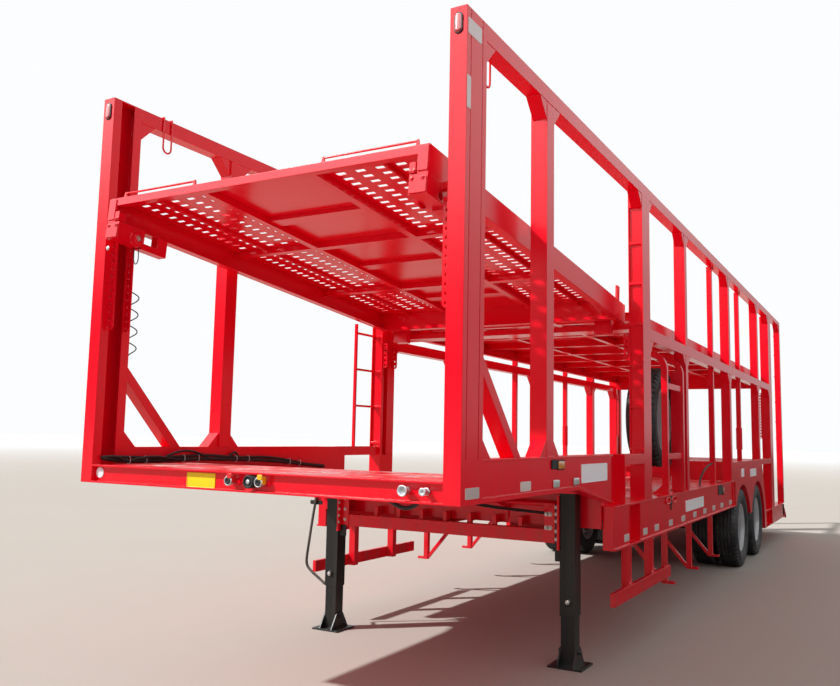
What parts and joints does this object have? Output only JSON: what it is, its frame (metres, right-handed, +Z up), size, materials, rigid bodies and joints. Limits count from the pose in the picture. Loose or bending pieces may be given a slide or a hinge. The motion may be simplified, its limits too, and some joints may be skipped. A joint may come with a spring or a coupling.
{
  "type": "car carrier semi-trailer",
  "caption": "Double-deck semi-trailer for cars: open side frames, low deck over the wheels, hinged upper decks, gooseneck with kingpin and landing legs.",
  "frame": {"origin": "on the ground, under the middle of the overall length, on the vehicle's centre line", "axes": "+X forward towards the kingpin end, +Y to the vehicle's left, +Z up"},
  "size_m": [12.266, 2.508, 3.553],
  "materials": {
    "red_paint": "gloss",
    "worn_paint": "satin",
    "dark_paint": "satin",
    "rim_paint": "satin",
    "tyre": "matte",
    "coupling_metal": "satin",
    "lamp_amber": "gloss"
  },
  "bodies": {
    "chassis": {"air_tanks": "dark_paint", "arch_deck": "red_paint", "arch_panels": "red_paint", "axles": "dark_paint", "coupler_plate": "red_paint", "couplings": "coupling_metal", "crossmembers": "red_paint", "front_bolster": "red_paint", "front_braces": "red_paint", "front_deck": "red_paint", "front_posts": "red_paint", "guard_brackets": "red_paint", "hinge_beam": "red_paint", "knee_gussets": "red_paint", "ladder_columns": "red_paint", "lamps": "lamp_amber", "landing_legs": "dark_paint", "leaf_springs": "dark_paint", "leg_brace": "red_paint", "leg_crank": "dark_paint", "leg_gearing": "dark_paint", "lifting_masts": "red_paint", "lock_strips": "worn_paint", "low_deck": "red_paint", "main_beams": "red_paint", "mid_rails": "red_paint", "neck_bulkhead": "red_paint", "neck_fascias": "red_paint", "rear_columns": "red_paint", "rope_hooks": "worn_paint", "side_guards": "red_paint", "side_ladder": "red_paint", "side_posts": "red_paint", "side_rails": "red_paint", "spare_rack": "red_paint", "spare_rim": "rim_paint", "spare_tyre": "tyre", "spring_hangers": "red_paint", "tail_deck": "red_paint", "tail_sills": "red_paint", "top_rails": "red_paint"},
    "wheels_front_left": {"tyres_1_left": "tyre", "wheels_1_left": "rim_paint"},
    "wheels_front_right": {"tyres_1_right": "tyre", "wheels_1_right": "rim_paint"},
    "wheels_rear_left": {"tyres_2_left": "tyre", "wheels_2_left": "rim_paint"},
    "wheels_rear_right": {"tyres_2_right": "tyre", "wheels_2_right": "rim_paint"},
    "front_platform": {"front_platform": "red_paint", "platform_sheets": "red_paint", "platform_sliders": "red_paint"},
    "rear_deck": {"rear_deck": "red_paint", "rear_deck_sheets": "red_paint", "rear_sliders": "red_paint"}
  },
  "joints": [
    {"name": "wheels_front_left_spin", "type": "hinge", "parent": "chassis", "child": "wheels_front_left", "pos_m": [-1.62, 0.969, 0.47], "axis": [0, 1, 0], "continuous": true},
    {"name": "wheels_front_right_spin", "type": "hinge", "parent": "chassis", "child": "wheels_front_right", "pos_m": [-1.62, -0.969, 0.47], "axis": [0, 1, 0], "continuous": true},
    {"name": "wheels_rear_left_spin", "type": "hinge", "parent": "chassis", "child": "wheels_rear_left", "pos_m": [-2.89, 0.969, 0.47], "axis": [0, 1, 0], "continuous": true},
    {"name": "wheels_rear_right_spin", "type": "hinge", "parent": "chassis", "child": "wheels_rear_right", "pos_m": [-2.89, -0.969, 0.47], "axis": [0, 1, 0], "continuous": true},
    {"name": "front_platform_tilt", "type": "hinge", "parent": "chassis", "child": "front_platform", "pos_m": [2.87, 0, 2.5], "axis": [0, 1, 0], "range_deg": [-6, 12]},
    {"name": "rear_deck_tilt", "type": "hinge", "parent": "chassis", "child": "rear_deck", "pos_m": [2.7, 0, 2.48], "axis": [0, 1, 0], "range_deg": [-6, 0]}
  ]
}
